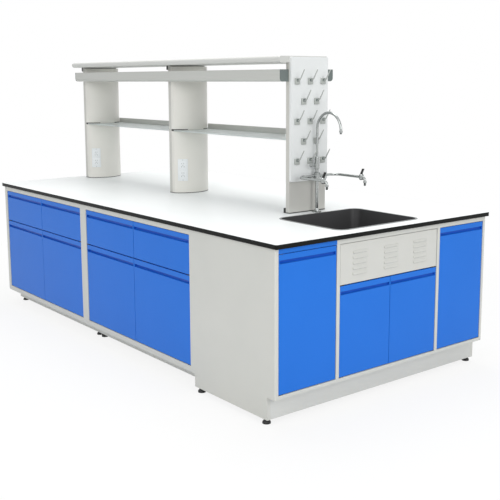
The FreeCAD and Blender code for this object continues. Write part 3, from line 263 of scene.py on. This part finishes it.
# Polypropylene over the sink: a white sheet for the pegboard and moulded grey pegs, both satin.
finishes["pegboard_white"] = coat("polypropylene_sheet", "#e8eae9", "#e1e4e3", 160, 2.5, 0.42, 0.03)
finishes["peg_grey"] = coat("moulded_polypropylene_peg", "#b3b7b2", "#a5a9a5", 40, 1.2, 0.38, 0.04)
print("%d coats" % len(finishes))

# %% [markdown]
# ## Lacquered fronts
# The fronts carry the strongest colour. Sprayed lacquer is even, with a trace of orange peel. In the finger
# groove below each lip the blue is made deeper: a painted shade, for the little light that gets in there.
# Two tests on the Object coordinates find the groove: how far the point lies behind the face of the front,
# and how far below the top of one. A painted mask could do that too, but it would not follow a front that
# changes its size.

# %% Find the finger grooves
groove_drop, band_half, band_end = 0.0305, 0.0130, 0.0138
dark_from, dark_full = 0.0015, 0.0110
groove_floor, groove_end = 0.0140, 0.0145
side_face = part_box("door_far_1")[1].y
end_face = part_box("door_end_near")[1].x
tops = sorted({round(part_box(name)[1].z, 4) for name in nodes if name.startswith(("door_", "drawer_front"))})

# The satin face mirrors little, so its specular level is low.
lacquer, tree, surface, place = start_finish("lacquered_mdf_blue", Specular_IOR_Level=0.15)
axes = add(tree, "SeparateXYZ", {"Vector": place}).outputs
sideways = add(tree, "Math", {0: axes["Y"]}, operation="ABSOLUTE").outputs[0]
from_side = add(tree, "Math", {0: side_face, 1: sideways}, operation="SUBTRACT").outputs[0]
from_end = add(tree, "Math", {0: end_face, 1: axes["X"]}, operation="SUBTRACT").outputs[0]
depth = add(tree, "Math", {0: from_side, 1: from_end}, operation="MINIMUM").outputs[0]
inside = add(tree, "MapRange", {"Value": depth, "From Min": dark_from, "From Max": dark_full}).outputs[0]
ahead = add(tree, "MapRange", {"Value": depth, "From Min": groove_floor, "From Max": groove_end,
                               "To Min": 1.0, "To Max": 0.0}).outputs[0]
groove_shade = add(tree, "Math", {0: inside, 1: ahead}, operation="MULTIPLY").outputs[0]
bands = 0.0
for top in tops:
    away = add(tree, "Math", {0: axes["Z"], 1: top - groove_drop}, operation="SUBTRACT").outputs[0]
    away = add(tree, "Math", {0: away}, operation="ABSOLUTE").outputs[0]
    band = add(tree, "MapRange", {"Value": away, "From Min": band_half, "From Max": band_end,
                                  "To Min": 1.0, "To Max": 0.0}).outputs[0]
    bands = add(tree, "Math", {0: bands, 1: band}, operation="MAXIMUM").outputs[0]
groove_shade = add(tree, "Math", {0: groove_shade, 1: bands}, operation="MULTIPLY").outputs[0]
print("grooves below front tops at", tops)

# %% Lacquer
# Lacquered MDF, sprayed and cured: deep even blue, satin, with orange peel about 9 mm wide.
cloud = add(tree, "TexNoise", {"Vector": place, "Scale": 1000 / 260, "Detail": 4.0}).outputs["Fac"]
blue = add(tree, "MixRGB", {"Fac": cloud, "Color1": linear("#2575da"), "Color2": linear("#2170d4")})
# Painted shade: the blue turns deeper in the finger groove below each lip, where little light reaches.
tint = add(tree, "MixRGB", {"Fac": groove_shade, "Color1": blue.outputs["Color"], "Color2": linear("#1b58c4")})
tree.links.new(tint.outputs["Color"], surface["Base Color"])
peel = add(tree, "TexNoise", {"Vector": place, "Scale": 1000 / 9, "Detail": 2.0}).outputs["Fac"]
roughen(tree, surface, peel, spread=(0.3, 0.7), rough=(0.28, 0.38), relief=0.02)
finishes["front_blue"] = lacquer
print("lacquer ready")

# %% [markdown]
# ## Worktop of compact laminate
# The top is a solid board: many sheets of dark resin-soaked paper pressed together, with a white decor
# sheet on the face. From the side it is black, and only the last millimetre is white. A height test on
# the Object coordinates puts the change exactly there, at any view, without a second object.

# %% Compact laminate
# Compact laminate: white melamine decor with a fine pearl, over a black core of phenolic paper.
board_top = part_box("worktop")[1].z
core_end, decor_start = board_top - 0.0011, board_top - 0.0008
laminate, tree, surface, place = start_finish("compact_laminate", Specular_IOR_Level=0.12)
height = add(tree, "SeparateXYZ", {"Vector": place}).outputs["Z"]
decor = add(tree, "MapRange", {"Value": height, "From Min": core_end, "From Max": decor_start}).outputs[0]
clouds = add(tree, "TexNoise", {"Vector": place, "Scale": 1000 / 320, "Detail": 4.0}).outputs["Fac"]
white = add(tree, "MixRGB", {"Fac": clouds, "Color1": linear("#f0f2f1"), "Color2": linear("#e8ebea")})
# The pressed paper sheets are 0.3 mm thick; they are drawn as 3 mm bands so that they show on the edge.
flat = add(tree, "Mapping", {"Vector": place, "Scale": (2.0, 2.0, 1000 / 3)}).outputs["Vector"]
layers = add(tree, "TexNoise", {"Vector": flat, "Scale": 1.0, "Detail": 2.0}).outputs["Fac"]
core = add(tree, "MixRGB", {"Fac": layers, "Color1": linear("#090a09"), "Color2": linear("#151715")})
tint = add(tree, "MixRGB", {"Fac": decor, "Color1": core.outputs["Color"], "Color2": white.outputs["Color"]})
tree.links.new(tint.outputs["Color"], surface["Base Color"])
pearl = add(tree, "TexNoise", {"Vector": place, "Scale": 1000 / 2.5, "Detail": 2.0}).outputs["Fac"]
roughen(tree, surface, pearl, spread=(0.3, 0.7), rough=(0.33, 0.45), relief=0.04)
finishes["worktop_laminate"] = laminate
print("worktop is black below %.4f m" % core_end)

# %% [markdown]
# ## Metals and glass
# A metal takes its look from what it mirrors, so its colour is simple and its roughness carries the
# detail: faint wiped smears on chrome, drawing lines along an anodised profile, and crystals in zinc. The
# glass of the shelves is etched, so part of the light is scattered at its surface and the rest passes. Two
# shaders could be mixed for that, but one with a transmission of about a half does it in one node.

# %% Metals
# Chrome-plated brass: bright, dulled a little by limescale, with wiped smears about 15 mm wide.
chrome, tree, surface, place = start_finish("chrome_plated_brass", Metallic=1.0)
smears = add(tree, "TexNoise", {"Vector": place, "Scale": 1000 / 15, "Detail": 3.0}).outputs["Fac"]
tint = add(tree, "MixRGB", {"Fac": smears, "Color1": linear("#b2b5b4"), "Color2": linear("#9b9f9e")})
tree.links.new(tint.outputs["Color"], surface["Base Color"])
roughen(tree, surface, smears, spread=(0.35, 0.65), rough=(0.18, 0.28))
finishes["tap_chrome"] = chrome

# Anodised aluminium: extruded along X, so the faint lines run that way; they are drawn 2 mm apart.
# Its oxide skin is matt and pale, so it is only a little metallic.
anodised, tree, surface, place = start_finish("anodised_aluminium", Metallic=0.2)
drawn = add(tree, "Mapping", {"Vector": place, "Scale": (3.0, 1000 / 2, 1000 / 2)}).outputs["Vector"]
lines = add(tree, "TexNoise", {"Vector": drawn, "Scale": 1.0, "Detail": 3.0}).outputs["Fac"]
tint = add(tree, "MixRGB", {"Fac": lines, "Color1": linear("#c4c5c0"), "Color2": linear("#b9bbb6")})
tree.links.new(tint.outputs["Color"], surface["Base Color"])
roughen(tree, surface, lines, spread=(0.3, 0.7), rough=(0.34, 0.46), relief=0.04, strength=0.4)
finishes["rack_aluminium"] = anodised

# Zinc-plated steel: the plating grows in crystals, here 9 mm wide, each with its own tone and gloss.
zinc, tree, surface, place = start_finish("zinc_plated_steel", Metallic=1.0)
crystals = add(tree, "TexVoronoi", {"Vector": place, "Scale": 1000 / 9}).outputs["Color"]
tone = add(tree, "SeparateColor", {"Color": crystals}).outputs[0]
tint = add(tree, "MixRGB", {"Fac": tone, "Color1": linear("#aeb2b5"), "Color2": linear("#c6c9cb")})
tree.links.new(tint.outputs["Color"], surface["Base Color"])
roughen(tree, surface, tone, spread=(0.0, 1.0), rough=(0.28, 0.42))
finishes["runner_steel"] = zinc
print("metals ready")

# %% Float glass
# Soda-lime float glass, 8 mm, etched: pale, faintly green, wiped in patches about 90 mm wide.
glass, tree, surface, place = start_finish("etched_float_glass", Transmission_Weight=0.55, IOR=1.52)
wiped = add(tree, "TexNoise", {"Vector": place, "Scale": 1000 / 90, "Detail": 3.0}).outputs["Fac"]
tint = add(tree, "MixRGB", {"Fac": wiped, "Color1": linear("#f0f5f4"), "Color2": linear("#e6eeec")})
tree.links.new(tint.outputs["Color"], surface["Base Color"])
roughen(tree, surface, wiped, spread=(0.35, 0.65), rough=(0.28, 0.38))
finishes["shelf_glass"] = glass
print("glass ready")

# %% [markdown]
# ## Finishes on the solids
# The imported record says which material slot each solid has, so one loop hands out the finishes. Real
# boards and profiles have no knife edges. Their edges are softened by two modifiers: Weld joins the loose
# triangles of the solid, and Bevel then rounds each sharp edge by about a millimetre, so that it catches
# a line of light. The cabinets are left out: their boards touch, and a weld would join one board to the
# next.

# %% Hand out the finishes
for part in frame["record"]["subparts"]:
    solid = nodes[part["node"]]
    if not solid.material_slots:
        solid.data.materials.append(None)
    for slot in solid.material_slots:
        slot.material = finishes[part["material_slot"]]

# %% Soft edges
edge_radius = {
    "door": 0.0012, "drawer_front": 0.0012, "drawer_box": 0.0008, "near_bay": 0.0010, "toe_kicks": 0.0010,
    "rack_posts": 0.0015, "rack_beams": 0.0012, "rack_fittings": 0.0010, "beam_end_caps": 0.0012,
    "glass_shelves": 0.0012, "shelf_guard_rails": 0.0015, "pegboard": 0.0020, "socket_plates": 0.0020,
    "sink_rim": 0.0009,
}
softened = 0
for name, solid in nodes.items():
    for start, radius in edge_radius.items():
        if name.startswith(start):
            weld = solid.modifiers.new("join_triangles", "WELD")
            weld.merge_threshold = 0.00001
            bevel = solid.modifiers.new("soft_edges", "BEVEL")
            bevel.width = radius
            bevel.segments = 2
            bevel.limit_method = "ANGLE"
            bevel.angle_limit = math.radians(40)
            bevel.harden_normals = True
            softened += 1
print("%d solids with soft edges" % softened)

# %% [markdown]
# ## Small fittings
# The fittings below are modelled with bmesh operators: a block, ring or edge is shaped by bevel, inset,
# extrude and spin. One helper turns a finished bmesh into an object that rides on the fixed bench. The
# others pick out edges, place a fitting on a surface, or make a block with soft edges.

# %% From a bmesh to a piece
def finish_piece(shape, name, slot, smooth=True):
    """An object at the origin, with the finish of a slot; its place is in its mesh."""
    bmesh.ops.recalc_face_normals(shape, faces=shape.faces)
    mesh = bpy.data.meshes.new(name)
    shape.to_mesh(mesh)
    shape.free()
    for face in mesh.polygons:
        face.use_smooth = smooth
    mesh.materials.append(finishes[slot])
    piece = bpy.data.objects.new(name, mesh)
    scene.collection.objects.link(piece)
    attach(piece, "bench")
    print("%s: %d faces" % (name, len(mesh.polygons)))
    return piece


# %% Helpers for fittings
def edges_at(verts):
    return list({edge for vertex in verts for edge in vertex.link_edges})


def only(kind, geom):
    return [item for item in geom if isinstance(item, kind)]


def facing(spot, outward):
    """Matrix that stands a fitting on a surface: its Z points outward, its Y up where that is possible."""
    outward = Vector(outward).normalized()
    across = Vector((0, 0, 1)).cross(outward)
    across = across.normalized() if across.length > 0.01 else Vector((1, 0, 0))
    return Matrix.Translation(spot) @ Matrix((across, outward.cross(across), outward)).transposed().to_4x4()


def soft_block(shape, place, size, radius):
    """A block of this size with rounded edges; place is the matrix of its middle."""
    made = bmesh.ops.create_cube(shape, size=1.0, matrix=place @ Matrix.Diagonal((*size, 1.0)))
    bmesh.ops.bevel(shape, geom=edges_at(made["verts"]), offset=radius, segments=2, profile=0.5,
                    affect="EDGES", material=-1)


print("fitting helpers ready")

# %% [markdown]
# ## Drying pegs
# Each peg is a moulded foot with a rod that curves up and away, so that a flask can hang on it and drain.
# Rows of three and of two pegs alternate. A curve with a round bevel could make the rod. Here a ring of
# vertices is spun about a point above it for the bend and extruded for the straight run, because its last
# rings can then be narrowed to a domed tip. A dark block on the upper part of each foot, where the rod is
# pressed in, is painted shade for the socket hole.

# %% One peg rod
rod_radius, rod_bend = 0.0034, 0.0270
rod_lean = math.radians(57)
rod_run = Vector((math.cos(rod_lean), 0, math.sin(rod_lean)))
rod_steps = ((0.0500, 0.85), (0.0014, 0.78), (0.0009, 0.55))


def peg_rod(shape, start):
    """A rod that leaves a ring along X and bends up; a step is a length and how the ring shrinks."""
    ring = bmesh.ops.create_circle(shape, cap_ends=True, segments=12, radius=rod_radius,
                                   matrix=facing(start, (1, 0, 0)))
    bend = bmesh.ops.spin(shape, geom=edges_at(ring["verts"]), cent=start + Vector((0, 0, rod_bend)),
                          axis=(0, 1, 0), angle=-rod_lean, steps=7, use_merge=False, use_duplicate=False)
    edges = only(bmesh.types.BMEdge, bend["geom_last"])
    for length, scale in rod_steps:
        grown = bmesh.ops.extrude_edge_only(shape, edges=edges)["geom"]
        verts = only(bmesh.types.BMVert, grown)
        edges = only(bmesh.types.BMEdge, grown)
        bmesh.ops.translate(shape, verts=verts, vec=rod_run * length)
        centre = sum((vertex.co for vertex in verts), Vector()) / len(verts)
        bmesh.ops.scale(shape, verts=verts, vec=(scale, scale, scale), space=Matrix.Translation(-centre))
    bmesh.ops.edgeloop_fill(shape, edges=edges)


print("rod leans %.0f degrees" % math.degrees(rod_lean))

# %% Rows of pegs
board_low, board_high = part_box("pegboard")
peg_pitch, row_pitch, row_low, row_count = 0.092, 0.105, board_low.z + 0.108, 5
foot_size, foot_edge, foot_out = (0.031, 0.033, 0.0098), 0.002, 0.0050
socket_shade_size, socket_shade_edge, socket_shade_out, socket_shade_rise = (0.019, 0.014, 0.0012), 0.0005, 0.0098, 0.006
rod_out, rod_rise = 0.0095, 0.005
pegs = bmesh.new()
socket_shade_blocks = bmesh.new()
for row in range(row_count):
    for step in ((-1, 0, 1) if row % 2 == 0 else (-0.5, 0.5)):
        middle = Vector((board_high.x, peg_pitch * step, row_low + row_pitch * row))
        foot = facing(middle + Vector((foot_out, 0, 0)), (1, 0, 0))
        soft_block(pegs, foot, foot_size, foot_edge)
        # Painted shade: a dark block on the upper part of the foot, for the shade in the hole of the rod.
        socket_shade = facing(middle + Vector((socket_shade_out, 0, socket_shade_rise)), (1, 0, 0))
        soft_block(socket_shade_blocks, socket_shade, socket_shade_size, socket_shade_edge)
        peg_rod(pegs, middle + Vector((rod_out, 0, rod_rise)))
moulded_pegs = finish_piece(pegs, "drying_pegs_moulded", "peg_grey")
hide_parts("drying_pegs")
finish_piece(socket_shade_blocks, "peg_socket_shade", "cap_grey")

# %% [markdown]
# ## Sockets on the post covers
# Two posts have bulged covers, and each lower cover carries a socket plate on its bulge. The plate gets
# two raised modules with slots. The slots could be cut out, but a thin dark block set into the face, as
# painted shade for the inside of each slot, looks the same and keeps the mesh light. A plate is turned
# from the sink a little to the near side, so its modules are placed by its own matrix.

# %% Shape of the covers
covers_low, covers_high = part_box("post_covers")
cover_side, cover_bulge = 0.025, 0.065
bulge_radius = (covers_high.y ** 2 + cover_bulge ** 2) / (2 * cover_bulge)
bulge_centre = cover_side + cover_bulge - bulge_radius
post_faces = (covers_low.x, covers_high.x - cover_side - cover_bulge)
print("bulge of radius %.4f m on posts at" % bulge_radius, [round(face, 3) for face in post_faces])

# %% Places of the socket plates
plate_low, plate_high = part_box("socket_plates")
plate_middle = (plate_low.z + plate_high.z) / 2
plate_depth, plate_angle = 0.005, math.radians(34)
outward = Vector((math.cos(plate_angle), -math.sin(plate_angle), 0))
reach = outward * (bulge_radius + plate_depth)
plates = [facing(Vector((face + bulge_centre, 0, plate_middle)) + reach, outward) for face in post_faces]
print("%d socket plates" % len(plates))

# %% Socket modules
module_size, module_edge, module_rise, module_out = (0.048, 0.050, 0.0024), 0.001, 0.030, 0.0006
slot_depth, slot_edge, slot_out = 0.0007, 0.0003, 0.0010
pin_slot, middle_slot = (0.0022, 0.009), (0.0024, 0.008)
slot_spots = ((-0.006, 0.011, pin_slot), (0.006, 0.011, pin_slot), (-0.008, -0.009, pin_slot),
              (0.008, -0.009, pin_slot), (0.0, -0.002, middle_slot))
modules = bmesh.new()
slots = bmesh.new()
for plate in plates:
    for rise in (-module_rise, module_rise):
        module = plate @ Matrix.Translation((0, rise, module_out))
        soft_block(modules, module, module_size, module_edge)
        for right_by, up_by, size in slot_spots:
            slot_place = module @ Matrix.Translation((right_by, up_by, slot_out))
            # Painted shade: a thin dark block for the inside of each slot.
            soft_block(slots, slot_place, (*size, slot_depth), slot_edge)
finish_piece(modules, "socket_modules", "socket_white")
finish_piece(slots, "socket_slot_shade", "cap_grey")

# %% [markdown]
# ## Louvres
# The vented panel lets the sink unit breathe. Each hood is open below. A dark strip under the lip of the
# hood is painted shade for that opening, so it gives the depth without cutting the sheet.

# %% Painted shade in the louvre openings
vent_low, vent_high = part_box("vented_panel")
hood_spacing, hood_pitch, hood_height = 0.213, 0.026, 0.013
strip_size, strip_edge, strip_in = (0.0034, 0.089, 0.0012), 0.0003, 0.0032
lip_middle = (vent_low.z + vent_high.z - hood_height) / 2
shape = bmesh.new()
for column in (-1, 0, 1):
    for row in (-2, -1, 0, 1, 2):
        strip_top = lip_middle + hood_pitch * row
        middle = (vent_high.x - strip_in, hood_spacing * column, strip_top - strip_size[2] / 2)
        # Painted shade: a dark strip under each hood lip, for the opening below it.
        soft_block(shape, Matrix.Translation(middle), strip_size, strip_edge)
finish_piece(shape, "louvre_opening_shade", "cap_grey")

# %% [markdown]
# ## Screws
# A screw above and below the modules holds each socket plate. Its pan head is a short cone. The crown of
# the cone is inset and pushed in, which leaves a round recess. A real one is a cross, but on a head that
# is 6 mm wide the round one reads the same and takes two operators.

# %% Pan head screws
def screw(shape, place, radius):
    """Pan head with a round recess in it; place is the matrix of the middle of its foot."""
    height, crown_radius, ring, recess = radius * 0.5, radius * 0.72, radius * 0.3, radius * 0.3
    made = bmesh.ops.create_cone(shape, cap_ends=True, segments=16, radius1=radius, radius2=crown_radius,
                                 depth=height, matrix=place @ Matrix.Translation((0, 0, height / 2)))
    outward = place.to_3x3() @ Vector((0, 0, 1))
    faces = {face for vertex in made["verts"] for face in vertex.link_faces}
    crown = max(faces, key=lambda face: (face.calc_center_median() - place.translation).dot(outward))
    bmesh.ops.inset_region(shape, faces=[crown], thickness=ring)
    bmesh.ops.translate(shape, verts=crown.verts, vec=outward * -recess)


screw_radius, screw_rise, screw_sunk = 0.0032, 0.063, 0.0002
shape = bmesh.new()
for plate in plates:
    for rise in (-screw_rise, screw_rise):
        screw(shape, plate @ Matrix.Translation((0, rise, -screw_sunk)), screw_radius)
finish_piece(shape, "pan_head_screws", "runner_steel")

# %% [markdown]
# ## Shelf seals
# The glass passes between the lower and the upper cover of a post. A black rubber strip closes the slot
# on both sides and laps over the foot of the upper cover; its black is also painted shade, for the dark of
# the slot. It starts as one upright edge, is pulled along the flat of the cover, and is then spun round the
# bulge. A curve could follow the cover too, but an edge that is spun about the centre of the bulge lies
# true to it. Solidify gives the sheet its thickness.

# %% Shelf seals
glass_low, glass_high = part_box("glass_shelves")
seal_low, seal_high = glass_low.z + 0.0003, glass_high.z + 0.0045
seal_side, seal_start = covers_high.y + 0.0004, 0.001
seal_sweep, seal_thickness = math.radians(32), 0.0016
shape = bmesh.new()
for post_face in post_faces:
    for side in (-1, 1):
        foot = shape.verts.new((post_face + seal_start, side * seal_side, seal_low))
        head = shape.verts.new((post_face + seal_start, side * seal_side, seal_high))
        grown = bmesh.ops.extrude_edge_only(shape, edges=[shape.edges.new((foot, head))])["geom"]
        moved = only(bmesh.types.BMVert, grown)
        bmesh.ops.translate(shape, verts=moved, vec=(cover_side - seal_start, 0, 0))
        leading = [edge for edge in moved[0].link_edges if edge.other_vert(moved[0]) in moved]
        bmesh.ops.spin(shape, geom=leading, cent=(post_face + bulge_centre, 0, 0), axis=(0, 0, 1),
                       angle=-side * seal_sweep, steps=10, use_merge=False, use_duplicate=False)
bmesh.ops.recalc_face_normals(shape, faces=shape.faces)
bmesh.ops.solidify(shape, geom=shape.faces[:], thickness=seal_thickness)
# Its black is partly painted shade, for the dark in the slot of the glass.
finish_piece(shape, "shelf_seals_slot_shade", "fitting_black", smooth=False)

# %% [markdown]
# ## Sink strainer and foot nuts
# In the mouth of the waste two crossed bars with a round hub keep glassware out of the trap. The bars are
# soft blocks, and the hub is a circle that is pulled up, closed and crowned. They run into each other, as
# in a moulded part. The levelling feet of the base units are set by a hexagon nut on each stem: a
# six-sided prism, bevelled so that its corners are chamfered as a real nut's are.

# %% Strainer
waste_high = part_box("sink_waste")[1]
waste_flange, strainer_drop = 0.038, 0.007
bar_size, bar_edge = (0.0336, 0.004, 0.004), 0.0012
hub_radius, hub_height, hub_border, hub_crown = 0.0068, 0.0028, 0.0016, 0.0006
drain = Matrix.Translation((waste_high.x - waste_flange, 0, waste_high.z - strainer_drop))
shape = bmesh.new()
for angle in (45, 135):
    soft_block(shape, drain @ Matrix.Rotation(math.radians(angle), 4, "Z"), bar_size, bar_edge)
hub = bmesh.ops.create_circle(shape, cap_ends=True, segments=24, radius=hub_radius, matrix=drain)
grown = bmesh.ops.extrude_edge_only(shape, edges=edges_at(hub["verts"]))["geom"]
bmesh.ops.translate(shape, verts=only(bmesh.types.BMVert, grown), vec=(0, 0, hub_height))
cap = bmesh.ops.edgeloop_fill(shape, edges=only(bmesh.types.BMEdge, grown))["faces"]
bmesh.ops.inset_region(shape, faces=cap, thickness=hub_border, depth=hub_crown)
finish_piece(shape, "waste_strainer", "tap_chrome")

# %% Foot nuts
foot_inset, foot_front, foot_inner = 0.030, 0.108, 0.190
nut_radius, nut_height, nut_chamfer, nut_level = 0.0165, 0.009, 0.0012, 0.052
shape = bmesh.new()
for unit in ("cabinet_near_1", "cabinet_near_2"):
    unit_low, unit_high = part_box(unit)
    for x in (unit_low.x + foot_inset, unit_high.x - foot_inset):
        for y in (unit_low.y + foot_front, -foot_inner):
            for side in (1, -1):
                made = bmesh.ops.create_cone(shape, cap_ends=True, segments=6, radius1=nut_radius,
                                             radius2=nut_radius, depth=nut_height,
                                             matrix=Matrix.Translation((x, side * y, nut_level)))
                bmesh.ops.bevel(shape, geom=edges_at(made["verts"]), offset=nut_chamfer, segments=1,
                                profile=0.5, affect="EDGES", material=-1)
finish_piece(shape, "foot_nuts", "runner_steel", smooth=False)
